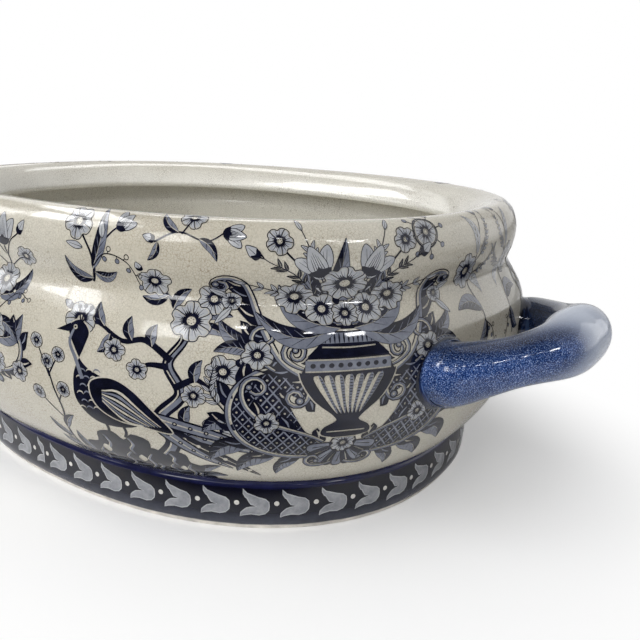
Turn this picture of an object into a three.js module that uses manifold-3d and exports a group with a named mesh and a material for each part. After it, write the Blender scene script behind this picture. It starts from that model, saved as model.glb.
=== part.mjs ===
// Two-handled oval footbath in glazed earthenware: a slip-cast bowl with a hollow rolled rim,
// a foot ring under it and a loop handle at each end.
// Millimetres, +Z up. The origin is on the table under the middle of the bowl, and X runs
// through the two handles.

import * as THREE from 'three';
import * as BufferGeometryUtils from 'three/addons/utils/BufferGeometryUtils.js';
import Module from 'manifold-3d';

const wasm = await Module();
wasm.setup();

// Plan: every level is the same oval, larger or smaller
const rimLength = 459;
const rimWidth = 367;
const planSquareness = 2.29; // 2 is a true ellipse, more is squarer
const height = 191.5;

// Cast clay
const wallThickness = 7;
const floorThickness = 8;

// Rolled rim
const rollDepth = 12.9; // crest of the roll in from its outside
const rollRadius = 20.2; // crest of the roll above its widest level
const rollTuck = 36; // how far the roll turns in below its widest level, in degrees
const collarHeight = 40.3; // crest of the roll above the waist
const waistDepth = 4.8; // waist in from the outside of the roll
const lipReach = 39; // edge of the mouth in from the outside of the roll
const lipDrop = 17.5; // edge of the mouth below the crest
const lipAngle = 60; // fall of the roll where it meets the mouth's edge, in degrees

// Belly
const bellySwell = 10.6; // belly out past the roll
const bellyHeight = 92.4; // widest level above the table
const shoulderFullness = 0.655;
const hipFullness = 0.22;

// Foot
const footHeight = 32.8; // where the belly meets the foot
const footInset = 25.2; // that joint in from the outside of the roll
const footStep = 2.9; // shoulder of the foot out from the joint
const footBevel = 3.2; // draw-in of the bare base rim
const footBevelHeight = 5;
const footThickness = 10.5;
const footDraft = 3; // inner wall leans in by this on its way up
const restRound = 1.5; // round on both edges of the resting face
const undersideHeight = 23.5; // bowl's flat underside above the table
const dishRun = 45; // run of the curve from the joint in to that flat

// Handles: stout at the root, slimmer in the arm, fullest in the grip
const handleSpacing = 125; // between the centres of the two roots
const handleHeight = 106; // centre of a root above the table
const handleRise = 14.3; // tip above the roots
const handleReach = 43.5; // centre of the tip out from the belly
const handleRootRadius = 20.2;
const handleArmRadius = 14.7;
const handleGripRadius = 19.2;
const handleRootDepth = 24; // length of each root before it is cut to the belly

// Fit of the luted joints
const jointClearance = 0.3;

// Fineness
const ovalSegments = 60;
const handleSides = 16;
const handleSteps = 36;

const halfWidth = rimWidth / 2;
const ovalStretch = (rimLength - rimWidth) / 2;
const radians = Math.PI / 180;

// Landmarks of the profile, as radius across the short axis and height
const crest = new THREE.Vector2(halfWidth - rollDepth, height);
const rollCentre = new THREE.Vector2(halfWidth - rollDepth, height - rollRadius);
const lip = new THREE.Vector2(halfWidth - lipReach, height - lipDrop);
const waist = new THREE.Vector2(halfWidth - waistDepth, height - collarHeight);
const belly = new THREE.Vector2(halfWidth + bellySwell, bellyHeight);
const footJoint = new THREE.Vector2(halfWidth - footInset, footHeight);

// A closed mesh with its shared vertices merged and its empty triangles left out
function solidOf(geometry) {
  const bare = geometry.clone();
  bare.deleteAttribute('normal');
  bare.deleteAttribute('uv');
  const merged = BufferGeometryUtils.mergeVertices(bare, 1e-4);
  const corners = [];
  for (let i = 0; i < merged.index.count; i += 3) {
    const a = merged.index.getX(i);
    const b = merged.index.getX(i + 1);
    const c = merged.index.getX(i + 2);
    if (a !== b && b !== c && c !== a) corners.push(a, b, c);
  }
  return new wasm.Manifold(new wasm.Mesh({
    numProp: 3,
    vertProperties: new Float32Array(merged.attributes.position.array),
    triVerts: new Uint32Array(corners),
  }));
}

function meshOf(name, solid, material) {
  const { vertProperties, triVerts } = solid.getMesh();
  const geometry = new THREE.BufferGeometry();
  geometry.setAttribute('position', new THREE.BufferAttribute(vertProperties, 3));
  geometry.setIndex(new THREE.BufferAttribute(triVerts, 1));
  geometry.computeVertexNormals();
  const mesh = new THREE.Mesh(geometry, material);
  mesh.name = name;
  return mesh;
}

function power(value, exponent) {
  return Math.sign(value) * Math.abs(value) ** exponent;
}

// Revolves a profile round the oval: a radius r becomes the oval of half axes
// r + ovalStretch and r, and the stretch dies away towards the middle of the floor
function ovalLathe(profile) {
  const geometry = new THREE.LatheGeometry(profile, ovalSegments);
  const position = geometry.attributes.position;
  const core = halfWidth / 3;
  for (let i = 0; i < position.count; i += 1) {
    const radius = Math.hypot(position.getX(i), position.getZ(i));
    const angle = Math.atan2(position.getX(i), position.getZ(i));
    const stretch = ovalStretch * Math.min(1, radius / core);
    position.setXYZ(
      i,
      (radius + stretch) * power(Math.cos(angle), 2 / planSquareness),
      radius * power(Math.sin(angle), 2 / planSquareness),
      position.getY(i),
    );
  }
  return solidOf(geometry);
}

// Where the oval of a given profile radius reaches in X at a given Y
function ovalX(radius, y) {
  const share = 1 - (Math.abs(y) / radius) ** planSquareness;
  return (radius + ovalStretch) * share ** (1 / planSquareness);
}

function arc(centre, radiusX, radiusY, from, to, steps) {
  const curve = new THREE.EllipseCurve(
    centre.x, centre.y, radiusX, radiusY, from * radians, to * radians, to < from,
  );
  return curve.getPoints(steps);
}

function bezier(start, handleA, handleB, end, steps) {
  return new THREE.CubicBezierCurve(start, handleA, handleB, end).getPoints(steps);
}

function offset(point, x, y) {
  return new THREE.Vector2(point.x + x, point.y + y);
}

// Sweeping curves of the belly, from the foot joint up to the waist
function lowerBelly(foot, widest, steps) {
  const run = widest.x - foot.x;
  const rise = widest.y - foot.y;
  const handleA = offset(foot, run * 0.458, rise * 0.088);
  const handleB = offset(widest, 0, -rise * hipFullness);
  return bezier(foot, handleA, handleB, widest, steps);
}

function upperBelly(widest, neck, steps) {
  const run = widest.x - neck.x;
  const rise = neck.y - widest.y;
  const handleA = offset(widest, 0, rise * shoulderFullness);
  const handleB = offset(neck, run * 0.95, -rise * 0.387);
  return bezier(widest, handleA, handleB, neck, steps);
}

// Flat middle of the floor, then a shallow dish out to the foot joint
function dish(joint, level) {
  const flatEdge = new THREE.Vector2(joint.x - dishRun, level);
  const corner = new THREE.Vector2(joint.x - dishRun * 0.6, level);
  const curve = new THREE.QuadraticBezierCurve(flatEdge, corner, joint);
  return [new THREE.Vector2(0, level), ...curve.getPoints(5)];
}

// Outside of the bowl, from the middle of its underside to the edge of the mouth
function outerProfile() {
  const fall = new THREE.Vector2(Math.cos(lipAngle * radians), Math.sin(lipAngle * radians));
  const reach = crest.x - lip.x;
  return [
    ...dish(footJoint, undersideHeight),
    ...lowerBelly(footJoint, belly, 7).slice(1),
    ...upperBelly(belly, waist, 8).slice(1),
    ...arc(rollCentre, rollDepth, rollRadius, -rollTuck, 90, 7),
    ...bezier(
      crest,
      offset(crest, -reach * 0.45, 0),
      offset(lip, fall.x * reach * 0.36, fall.y * reach * 0.36),
      lip,
      5,
    ).slice(1),
  ];
}

// Inside of the bowl, one wall further in: round the lip, up into the hollow of the roll,
// over the bead behind the waist and down to the floor
function innerProfile() {
  const lean = new THREE.Vector2(Math.sin(lipAngle * radians), -Math.cos(lipAngle * radians));
  const bead = offset(lip, lean.x * wallThickness / 2, lean.y * wallThickness / 2);
  const underLip = offset(lip, lean.x * wallThickness, lean.y * wallThickness);
  const hollowTop = offset(crest, 0, -wallThickness);
  const reach = hollowTop.x - underLip.x;
  const neck = offset(waist, -wallThickness * 0.84, -wallThickness * 0.54);
  const widest = offset(belly, -wallThickness, 0);
  const foot = offset(footJoint, 0, wallThickness);
  return [
    ...arc(bead, wallThickness / 2, wallThickness / 2, lipAngle + 90, lipAngle + 270, 5).slice(1),
    ...bezier(
      underLip,
      offset(underLip, -lean.y * reach * 0.4, lean.x * reach * 0.4),
      offset(hollowTop, -reach * 0.4, 0),
      hollowTop,
      4,
    ).slice(1),
    ...arc(
      rollCentre, rollDepth - wallThickness, rollRadius - wallThickness, 90, -rollTuck, 5,
    ).slice(1),
    ...arc(waist, wallThickness, wallThickness, 180 - rollTuck, 200, 2).slice(1),
    ...upperBelly(widest, neck, 6).reverse().slice(1),
    ...lowerBelly(foot, widest, 5).reverse().slice(1),
    ...dish(foot, undersideHeight + floorThickness).reverse().slice(1),
  ];
}

function bowl() {
  return ovalLathe([...outerProfile(), ...innerProfile()]);
}

// The bowl's outside as one filled body, grown by the clearance, to cut what is luted to it
function bowlBlank(clearance) {
  const outline = outerProfile();
  const grown = outline.map((point, i) => {
    const before = outline[Math.max(i - 1, 0)];
    const after = outline[Math.min(i + 1, outline.length - 1)];
    const along = after.clone().sub(before).normalize();
    return new THREE.Vector2(
      Math.max(0, point.x + along.y * clearance),
      point.y - along.x * clearance,
    );
  });
  grown[0].x = 0;
  grown.push(new THREE.Vector2(0, grown[grown.length - 1].y));
  return ovalLathe(grown);
}

// Foot ring: a bare base rim drawn in at the bottom, a slightly swelling outer face, a rounded
// shoulder, and a top cut to the belly that sits in it
function footRing() {
  const shoulder = footJoint.x + footStep;
  const base = shoulder - footBevel;
  const inner = base - footThickness;
  const top = footHeight + wallThickness;
  const point = (x, y) => new THREE.Vector2(x, y);
  const face = new THREE.QuadraticBezierCurve(
    point(shoulder - 0.5, footBevelHeight),
    point(shoulder + 0.7, footHeight * 0.45),
    point(shoulder, footHeight - footStep),
  );
  const profile = [
    point(inner, restRound),
    point(inner + restRound, 0),
    point(base - restRound, 0),
    point(base, restRound * 0.6),
    ...face.getPoints(4),
    ...arc(point(shoulder - footStep, footHeight - footStep), footStep, footStep, 0, 90, 3).slice(1),
    point(footJoint.x, top),
    point(inner - footDraft, top),
    point(inner, restRound),
  ];
  return ovalLathe(profile).subtract(bowlBlank(jointClearance));
}

// Profile radius of the belly at a height
function bellyRadius(level) {
  const outline = [
    ...lowerBelly(footJoint, belly, 24),
    ...upperBelly(belly, waist, 24),
  ];
  const i = outline.findIndex((point) => point.y >= level);
  const low = outline[Math.max(i - 1, 0)];
  const high = outline[Math.max(i, 1)];
  const share = (level - low.y) / (high.y - low.y || 1);
  return low.x + (high.x - low.x) * share;
}

// Centre line of a handle: out of the belly at one root, round the tip and back to the other
function handlePath() {
  const half = handleSpacing / 2;
  const rootX = ovalX(bellyRadius(handleHeight), half);
  const tipX = belly.x + ovalStretch + handleReach;
  const out = tipX - rootX;
  const point = (x, y, rise) => new THREE.Vector3(x, y, handleHeight + handleRise * rise);
  const side = [
    point(rootX - handleRootDepth, half + 1, -0.4),
    point(rootX, half, 0),
    point(rootX + out * 0.144, half * 1.065, 0.13),
    point(rootX + out * 0.949, half * 0.468, 0.99),
  ];
  const tip = point(tipX, 0, 1);
  const other = side.map((p) => new THREE.Vector3(p.x, -p.y, p.z)).reverse();
  return new THREE.CatmullRomCurve3([...side, tip, ...other]);
}

// Thickness of a handle, from 0 at the belly to 1 at the tip
function handleRadius(share) {
  const neck = 0.45;
  if (share < neck) {
    const flare = (1 - share / neck) ** 1.5;
    return handleArmRadius + (handleRootRadius - handleArmRadius) * flare;
  }
  const swell = Math.sin(Math.PI / 2 * (share - neck) / (1 - neck)) ** 2;
  return handleArmRadius + (handleGripRadius - handleArmRadius) * swell;
}

// A round rod along the path: the base cylinder's height becomes the distance along it
function handle() {
  const path = handlePath();
  const half = path.getLength() / 2;
  const rod = new THREE.CylinderGeometry(1, 1, 1, handleSides, handleSteps);
  const position = rod.attributes.position;
  const up = new THREE.Vector3(0, 0, 1);
  for (let i = 0; i < position.count; i += 1) {
    const share = position.getY(i) + 0.5;
    const along = path.getTangentAt(share);
    const across = along.clone().cross(up).normalize();
    const over = across.clone().cross(along);
    const fromRoot = (1 - Math.abs(1 - 2 * share)) * half;
    const reached = Math.max(0, fromRoot - handleRootDepth) / (half - handleRootDepth);
    const radius = handleRadius(reached);
    const place = path.getPointAt(share)
      .addScaledVector(across, position.getX(i) * radius)
      .addScaledVector(over, position.getZ(i) * radius);
    position.setXYZ(i, place.x, place.y, place.z);
  }
  return solidOf(rod).subtract(bowlBlank(jointClearance));
}

const creamGlaze = new THREE.MeshStandardMaterial({
  color: 0xbcb4a2,
  roughness: 0.12,
  metalness: 0,
});
const navyGlaze = new THREE.MeshStandardMaterial({
  color: 0x0b0e22,
  roughness: 0.12,
  metalness: 0,
});
const cobaltGlaze = new THREE.MeshStandardMaterial({
  color: 0x2c4a86,
  roughness: 0.15,
  metalness: 0,
});

const footbath = new THREE.Group();
footbath.add(meshOf('bowl', bowl(), creamGlaze));
footbath.add(meshOf('foot_ring', footRing(), navyGlaze));

const handleSolid = handle();
const handleRight = meshOf('handle_right', handleSolid, cobaltGlaze);
const handleLeft = meshOf('handle_left', handleSolid, cobaltGlaze);
handleLeft.rotation.z = Math.PI;
footbath.add(handleRight, handleLeft);

export default footbath;
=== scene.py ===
import bpy
import numpy as np
from mathutils import Matrix, Quaternion, Vector
from mathutils.geometry import delaunay_2d_cdt


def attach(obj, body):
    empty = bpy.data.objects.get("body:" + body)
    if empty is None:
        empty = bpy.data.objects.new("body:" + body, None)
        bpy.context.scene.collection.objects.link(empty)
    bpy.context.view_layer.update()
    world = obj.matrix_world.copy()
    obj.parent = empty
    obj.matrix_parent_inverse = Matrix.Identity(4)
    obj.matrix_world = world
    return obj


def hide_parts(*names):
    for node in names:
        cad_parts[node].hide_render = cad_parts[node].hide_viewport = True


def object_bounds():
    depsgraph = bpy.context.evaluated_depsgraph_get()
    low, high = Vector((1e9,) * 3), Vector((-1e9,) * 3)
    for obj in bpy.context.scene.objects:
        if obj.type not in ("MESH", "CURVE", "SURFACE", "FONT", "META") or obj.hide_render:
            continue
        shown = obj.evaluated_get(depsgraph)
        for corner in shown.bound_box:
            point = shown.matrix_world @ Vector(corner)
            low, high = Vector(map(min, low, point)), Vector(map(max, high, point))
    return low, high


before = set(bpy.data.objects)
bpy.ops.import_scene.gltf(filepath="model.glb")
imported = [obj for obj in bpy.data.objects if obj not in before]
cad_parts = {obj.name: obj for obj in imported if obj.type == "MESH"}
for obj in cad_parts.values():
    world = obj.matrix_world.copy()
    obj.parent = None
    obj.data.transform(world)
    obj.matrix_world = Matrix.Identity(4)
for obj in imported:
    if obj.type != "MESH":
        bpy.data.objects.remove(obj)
cad_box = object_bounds()

# Bowl: one slip-cast piece of cream earthenware with a flat floor, a swelling belly, a
# creased waist and a collar that rolls in over the mouth and is hollow underneath. Poured
# in plaster, fired, printed, then dipped whole in clear lead glaze, which has crazed.
mm = 0.001
height = round(cad_box[1][2] / mm, 1)
wall = 7.0
floor_under, floor_top = 23.5, 31.5
flat_floor = 60.0            # radius out to which the floor has one quad from its middle
roll_size = np.array([12.9, 20.2])
roll_tuck = 36               # degrees that the roll turns in below its widest level
crest = np.array([170.6, height])
roll = crest - [0, roll_size[1]]
half_width = roll[0] + roll_size[0]
oval_stretch = 46.0          # the long axis has this much more than the half width
squareness = 2.29            # 2 is a true ellipse
lip = np.array([144.5, 174.0])
lip_fall = np.radians(60)
waist = np.array([178.7, 151.2])
belly = np.array([194.1, 92.4])
foot_joint = np.array([158.3, 32.8])
dish_run = 45.0
oval_columns, slope_rows = 320, 20


def bezier(a, b, c, d, steps):
    t = np.linspace(0, 1, steps)[:, None]
    a, b, c, d = (np.asarray(p, float) for p in (a, b, c, d))
    return (1 - t)**3 * a + 3 * (1 - t)**2 * t * b + 3 * (1 - t) * t**2 * c + t**3 * d


def arc(centre, size, start, end, steps):
    t = np.radians(np.linspace(start, end, steps))
    return np.asarray(centre) + np.stack([np.cos(t), np.sin(t)], 1) * size


def lower_belly(foot, widest, steps):
    """Out from the foot, nearly level at first, and upright where the belly is widest."""
    run, rise = widest - foot
    return bezier(foot, foot + [run * 0.458, rise * 0.088], widest - [0, rise * 0.22], widest, steps)


def upper_belly(widest, neck, steps):
    """Upright from the belly's widest level, over the shoulder and in to the waist."""
    run, rise = widest[0] - neck[0], neck[1] - widest[1]
    return bezier(widest, widest + [0, rise * 0.655], neck + [run * 0.95, -rise * 0.387], neck, steps)


def roll_slope(top, edge, lean, steps):
    """From the crest of the roll, level at first, down the lip's slope to the mouth's edge."""
    reach = top[0] - edge[0]
    back = np.array([np.cos(lip_fall), np.sin(lip_fall)]) * reach * lean
    return bezier(top, top - [reach * 0.45, 0], edge + back, edge, steps)


def dish(joint, level, steps):
    """The floor's soft corner, from a level floor up to the joint with the foot."""
    t = np.linspace(0, 1, steps)[:, None]
    a, b = np.array([joint[0] - dish_run, level]), np.array([joint[0] - dish_run * 0.6, level])
    return (1 - t)**2 * a + 2 * (1 - t) * t * b + t**2 * joint


def chain(*runs):
    return np.concatenate([runs[0]] + [run[1:] for run in runs[1:]])


# The outside from the foot joint up to the edge of the mouth. Everything printed on the
# bowl is placed by its distance v up this line and its distance u round the belly.
shoulder_line = upper_belly(belly, waist, 30)[:-2]
belly_line = chain(lower_belly(foot_joint, belly, 30), shoulder_line)
tuck = arc(roll, roll_size, -roll_tuck, 90, 36)
crease_top = waist + (tuck[0] - waist) * 0.45
side_line = chain(belly_line,
                  bezier(shoulder_line[-1], waist * 0.7 + shoulder_line[-1] * 0.3,
                         waist * 0.7 + crease_top * 0.3, crease_top, 8),
                  [crease_top, tuck[0]], tuck, roll_slope(crest, lip, 0.36, slope_rows))
side_run = np.concatenate([[0], np.cumsum(np.linalg.norm(np.diff(side_line, axis=0), axis=1))])


def oval(angle, radius):
    """The point of the oval that a profile radius makes, angle 0 at +X."""
    c, s = np.cos(angle), np.sin(angle)
    stretch = oval_stretch * np.minimum(1, radius / (half_width / 3))
    return np.stack([(radius + stretch) * np.sign(c) * np.abs(c)**(2 / squareness),
                     radius * np.sign(s) * np.abs(s)**(2 / squareness)], -1)


turn_table = np.linspace(-np.pi, np.pi, 20001)
turn_step = np.diff(oval(turn_table, belly[0]), axis=0)
turn_run = np.concatenate([[0], np.cumsum(np.linalg.norm(turn_step, axis=1))])
girth = turn_run[-1]


def turn_at(u):
    """Angle of the point u mm round the belly from the middle of the front."""
    return np.interp((u + girth * 0.25) % girth, turn_run, turn_table)


def on_oval(u, radius, level):
    plan = oval(turn_at(u), radius)
    return np.stack([plan[..., 0], plan[..., 1], level + 0 * plan[..., 0]], -1)


def grid_faces(columns, rows, closed=False):
    """Quads between columns that go all the way round, wound to face outwards."""
    i, j = np.meshgrid(np.arange(columns), np.arange(rows if closed else rows - 1), indexing="ij")
    k, m = (i + 1) % columns, (j + 1) % rows
    return np.stack([i * rows + j, k * rows + j, k * rows + m, i * rows + m], -1).reshape(-1, 4)


def placed(name, data):
    """Puts a mesh, a lamp or a camera into the scene."""
    made = bpy.data.objects.new(name, data)
    bpy.context.scene.collection.objects.link(made)
    return made


def smooth_piece(name, points, faces):
    """A smooth-shaded piece from points in mm."""
    mesh = bpy.data.meshes.new(name)
    mesh.from_pydata((points.reshape(-1, 3) * mm).tolist(), [], faces.tolist())
    mesh.shade_smooth()
    return placed(name, mesh)


def mark(mesh, note, values):
    """Keeps a value at each vertex, which a material reads by its name."""
    mesh.attributes.new(note, "FLOAT", "POINT").data.foreach_set("value", values.ravel())


def lathe(name, profile, closed=False):
    """A piece turned round the oval from a profile in mm."""
    u = np.arange(oval_columns)[:, None] * girth / oval_columns
    radius, level = profile[:, 0], profile[:, 1]
    points = on_oval(u + 0 * radius, radius + 0 * u, level + 0 * u)
    return smooth_piece(name, points, grid_faces(oval_columns, len(profile), closed))


inward = np.array([np.sin(lip_fall), -np.cos(lip_fall)])
under_lip = lip + inward * wall
hollow_reach = crest[0] - under_lip[0]
under_face = chain([[0.5, floor_under], [flat_floor, floor_under]],
                   [[flat_floor, floor_under], [foot_joint[0] - dish_run, floor_under]],
                   dish(foot_joint, floor_under, 10))
mouth_and_roll = chain(
    arc(lip + inward * wall / 2, wall / 2, 150, 330, 14),
    bezier(under_lip, under_lip + [hollow_reach * 0.2, hollow_reach * 0.346],
           [crest[0] - hollow_reach * 0.4, height - wall], [crest[0], height - wall], 12),
    arc(roll, roll_size - wall, 90, -roll_tuck, 18))
bowl_profile = np.concatenate([
    chain(under_face, side_line, mouth_and_roll), arc(waist, wall, 180 - roll_tuck, 212, 10),
    upper_belly(belly - [wall, 0], waist - [wall * 0.84, wall * 0.54], 24)[::-1][1:],
    lower_belly(foot_joint + [0, wall], belly - [wall, 0], 22)[::-1][1:],
    dish(foot_joint + [0, wall], floor_top, 12)[::-1][1:], [[flat_floor, floor_top], [0.5, floor_top]]])
bowl = lathe("bowl_body", bowl_profile)
past_crest = (np.arange(len(bowl_profile)) - np.argmax(bowl_profile[:, 1])) / (slope_rows - 1)
mark(bowl.data, "inner", np.tile(np.clip(past_crest, 0, 1), oval_columns))


def linear(code):
    """sRGB hex to the linear colour that a shader takes."""
    parts = [int(code[i:i + 2], 16) / 255 for i in (1, 3, 5)]
    return [p / 12.92 if p < 0.04045 else ((p + 0.055) / 1.055)**2.4 for p in parts] + [1]


def cells_of(size):
    """Scale of a texture whose cells are so many mm across."""
    return 1 / (size * mm)


def node(tree, kind, values=(), links=(), stops=(), blending="LINEAR", **settings):
    """Adds a shader node: input values, links {input: socket}, settings by their names, and
    for a colour ramp its stops {place: sRGB hex or grey value}."""
    made = tree.nodes.new("ShaderNode" + kind)
    for name, value in settings.items():
        setattr(made, name, value)
    for name, value in dict(values).items():
        made.inputs[name].default_value = value
    for name, socket in dict(links).items():
        tree.links.new(socket, made.inputs[name])
    if stops:
        bar = made.color_ramp
        bar.interpolation = blending
        while len(bar.elements) < len(stops):
            bar.elements.new(1)
        for element, (place, colour) in zip(bar.elements, stops.items()):
            element.position = place
            element.color = linear(colour) if isinstance(colour, str) else [colour] * 3 + [1]
    return made


def material(name, finish):
    """A material whose shader has the given finish, with its tree and object coordinates."""
    made = bpy.data.materials.new(name)
    made.use_nodes = True
    tree = made.node_tree
    tree.nodes.clear()
    shader = node(tree, "BsdfPrincipled", finish)
    node(tree, "OutputMaterial", links={"Surface": shader.outputs[0]})
    return made, tree, shader, node(tree, "TexCoord").outputs["Object"]


def dip_waves(tree, coord):
    """The slow waves that the dip left in the glaze, as a bump."""
    ripple = node(tree, "TexNoise", {"Scale": cells_of(29.4), "Detail": 2}, {"Vector": coord})
    return node(tree, "Bump", {"Strength": 0.25, "Distance": 1.2 * mm}, {"Height": ripple.outputs["Fac"]})


# Clear lead glaze on cream earthenware: warm and deep, glassy on top, with a net of fine
# brown crazing whose cells are 1.6 mm across, and slow waves where the dip ran. Inside the
# bowl, past the crest of the rim, the colour is painted whiter: painted light for the shaded inside.
cream_glaze, tree, shader, coord = material("crazed_cream_lead_glaze", {"Roughness": 0.06, "IOR": 1.5})
drift = node(tree, "TexNoise", {"Scale": cells_of(111), "Detail": 3, "Roughness": 0.5}, {"Vector": coord})
body_tone = node(tree, "ValToRGB", (), {"Fac": drift.outputs["Fac"]},
                 {0.3: "#b9b3a4", 0.5: "#c0bbad", 0.7: "#c4c0b4"})
# Painted light: past the crest, the inside is mixed towards a whiter cream.
inside_painted_light_mask = node(tree, "Attribute", attribute_name="inner")
inside_painted_lighter = node(tree, "Mix", {"B": linear("#e9e7df")},
              {"Factor": inside_painted_light_mask.outputs["Fac"], "A": body_tone.outputs[0]}, data_type="RGBA")
warp = node(tree, "TexNoise", {"Scale": cells_of(3.846), "Detail": 2}, {"Vector": coord})
bent = node(tree, "VectorMath", {"Scale": 1.6 * mm}, {0: warp.outputs["Color"]}, operation="SCALE")
shifted = node(tree, "VectorMath", (), {0: coord, 1: bent.outputs[0]}, operation="ADD")
cells = node(tree, "TexVoronoi", {"Scale": cells_of(1.613)}, {"Vector": shifted.outputs[0]},
             feature="DISTANCE_TO_EDGE")
craze = node(tree, "ValToRGB", (), {"Fac": cells.outputs["Distance"]}, {0.0: 1.0, 0.075: 0.0})
patches = node(tree, "TexNoise", {"Scale": cells_of(38.5), "Detail": 4, "Roughness": 0.6}, {"Vector": coord})
strength = node(tree, "ValToRGB", (), {"Fac": patches.outputs["Fac"]}, {0.36: 0.14, 0.66: 0.7})
craze_depth = node(tree, "Math", (), {0: craze.outputs[0], 1: strength.outputs[0]}, operation="MULTIPLY")
stained = node(tree, "Mix", {"B": linear("#6d5a40")},
               {"Factor": craze_depth.outputs[0], "A": inside_painted_lighter.outputs["Result"]}, data_type="RGBA")
grain = node(tree, "TexNoise", {"Scale": cells_of(1.111), "Detail": 2}, {"Vector": coord})
grain_tone = node(tree, "ValToRGB", (), {"Fac": grain.outputs["Fac"]}, {0.3: 0.9, 0.7: 1.08})
speckled = node(tree, "Mix", {"Factor": 1}, {"A": stained.outputs["Result"], "B": grain_tone.outputs[0]},
                data_type="RGBA", blend_type="MULTIPLY")
tree.links.new(speckled.outputs["Result"], shader.inputs["Base Color"])
craze_bump = node(tree, "Bump", {"Strength": 0.12, "Distance": 0.1 * mm},
                  {"Height": craze.outputs[0], "Normal": dip_waves(tree, coord).outputs[0]}, invert=True)
tree.links.new(craze_bump.outputs[0], shader.inputs["Normal"])
bowl.data.materials.append(cream_glaze)
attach(bowl, "root")
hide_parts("bowl")

# Printed ornament: transfer prints in cobalt-black ink, laid by hand on the biscuit bowl and
# sealed under its glaze. Each is a flat drawing in mm, x round the bowl and y up it, cut into
# triangles and laid a skin's height over the wall. A cream line is a gap in the ink.
NAVY, SLATE, WASH, CREAM = "navy", "slate", "wash", "cream"


def through(p, steps):
    """A smooth line through all of the points but the first and the last."""
    t = np.linspace(0, 1, steps, endpoint=False)
    return np.concatenate([
        0.5 * (2 * b + (c - a) * t + (2 * a - 5 * b + 4 * c - d) * t**2 + (3 * b - a - 3 * c + d) * t**3)
        for a, b, c, d in zip(p, p[1:], p[2:], p[3:])])


def curve(points, steps=10):
    p = np.array(points, complex)
    p = np.concatenate([[2 * p[0] - p[1]], p, [2 * p[-1] - p[-2]]])
    return np.concatenate([through(p, steps), p[-2:-1]])


def loop(points, steps=8):
    p = np.array(points, complex)
    return through(np.concatenate([p[-1:], p, p[:2]]), steps)


def ray(degrees):
    return np.exp(1j * np.radians(degrees))


def sweep(start, heading, *runs):
    """A line built from runs of (length, first bend, last bend), bends in degrees per mm."""
    turn, path = np.radians(heading), [complex(start)]
    for length, first, last in runs:
        steps = max(6, int(length / 3))
        for k in range(steps):
            turn += np.radians(first + (last - first) * (k + 0.5) / steps) * length / steps
            path.append(path[-1] + np.exp(1j * turn) * length / steps)
    return np.array(path)


def normals(path):
    d = np.gradient(path)
    return 1j * d / np.maximum(np.abs(d), 1e-9)


def ribbon(tone, path, *widths):
    """A line whose width runs through the given widths from end to end."""
    path = np.asarray(path, complex)
    n = normals(path)
    w = np.interp(np.linspace(0, 1, len(path)), np.linspace(0, 1, len(widths)), widths) / 2
    return [(tone, np.concatenate([path + n * w, (path - n * w)[::-1]]))]


def outline(tone, shape, width):
    return ribbon(tone, np.concatenate([shape, shape[:1]]), width)


def inked(tone, shape, width=0.4):
    """A filled shape with a dark outline."""
    return [(tone, shape)] + outline(NAVY, shape, width)


def circle(at, radius, sides):
    return at + radius * np.exp(2j * np.pi * np.arange(sides) / sides)


def disc(tone, at, radius, sides=14):
    return [(tone, circle(at, radius, sides))]


def leaf(root, tip, width, bow=0.15, dark=True, veins=5):
    """A pointed leaf with a pale midrib, one half dark and the other engraved."""
    root, tip = complex(root), complex(tip)
    s = np.linspace(0, 1, 15)
    spine = root + (tip - root) * (s + 1j * bow * np.sin(np.pi * s))
    n = normals(spine)
    w = width / 2 * np.sin(np.pi * s**0.8) ** 0.9
    out = [(NAVY, np.concatenate([spine + n * (w + 0.25), (spine - n * (w + 0.25))[::-1]]))]
    out += [(NAVY if dark else WASH, np.concatenate([spine + n * w, spine[::-1]]))]
    out += [(SLATE if dark else WASH, np.concatenate([spine, (spine - n * w)[::-1]]))]
    for i in range(veins):
        a = 2 + int(10 * (i + 0.5) / veins)
        b = min(a + 2, 14)
        out += ribbon(NAVY, [spine[a], spine[b] - n[b] * w[b] * 0.85], 0.5, 0.15)
        out += ribbon(SLATE if dark else NAVY, [spine[a], spine[b] + n[b] * w[b] * 0.75], 0.4, 0.15)
    return out + ribbon(CREAM, spine[:-2], 0.5, 0.25)


def blossom(at, radius, petals=5, turn=0.0, notched=True):
    """An open flower: pale petals, engraved outwards from a dark star."""
    out = []
    w = np.sin(np.pi / petals) * 1.12
    petal = loop([0.1, 0.45 - 0.6j * w, 0.85 - 0.95j * w, 1.0 - 0.45j * w, 0.86 if notched else 1.02,
                  1.0 + 0.45j * w, 0.85 + 0.95j * w, 0.45 + 0.6j * w], 4)
    star = loop([0.1, 0.3 - 0.36j * w, 0.5 - 0.22j * w, 0.4 - 0.1j * w, 0.62, 0.4 + 0.1j * w,
                 0.5 + 0.22j * w, 0.3 + 0.36j * w], 3)
    for i in range(petals):
        a = ray(turn + 360 * i / petals) * radius
        out += [(WASH, petal * a + at)] + outline(CREAM, (petal * 0.9 + 0.04) * a + at, 0.45)
        out += outline(NAVY, petal * a + at, 0.3 + radius * 0.02)
        out.append((NAVY, star * a + at))
        for k, reach in ((-2, 0.72), (-1, 0.84), (1, 0.84), (2, 0.72)):
            vein = np.array([0.4 + 0.12j * k * w, reach + 0.27j * k * w]) * a + at
            out += ribbon(NAVY if k % 2 else SLATE, vein, 0.5, 0.15)
    out += disc(CREAM, at, radius * 0.25) + outline(NAVY, circle(at, radius * 0.25, 12), 0.4)
    for i in range(petals):
        out += disc(NAVY, at + ray(turn + 36 + 360 * i / petals) * radius * 0.14, 0.3, 6)
    return out


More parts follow.
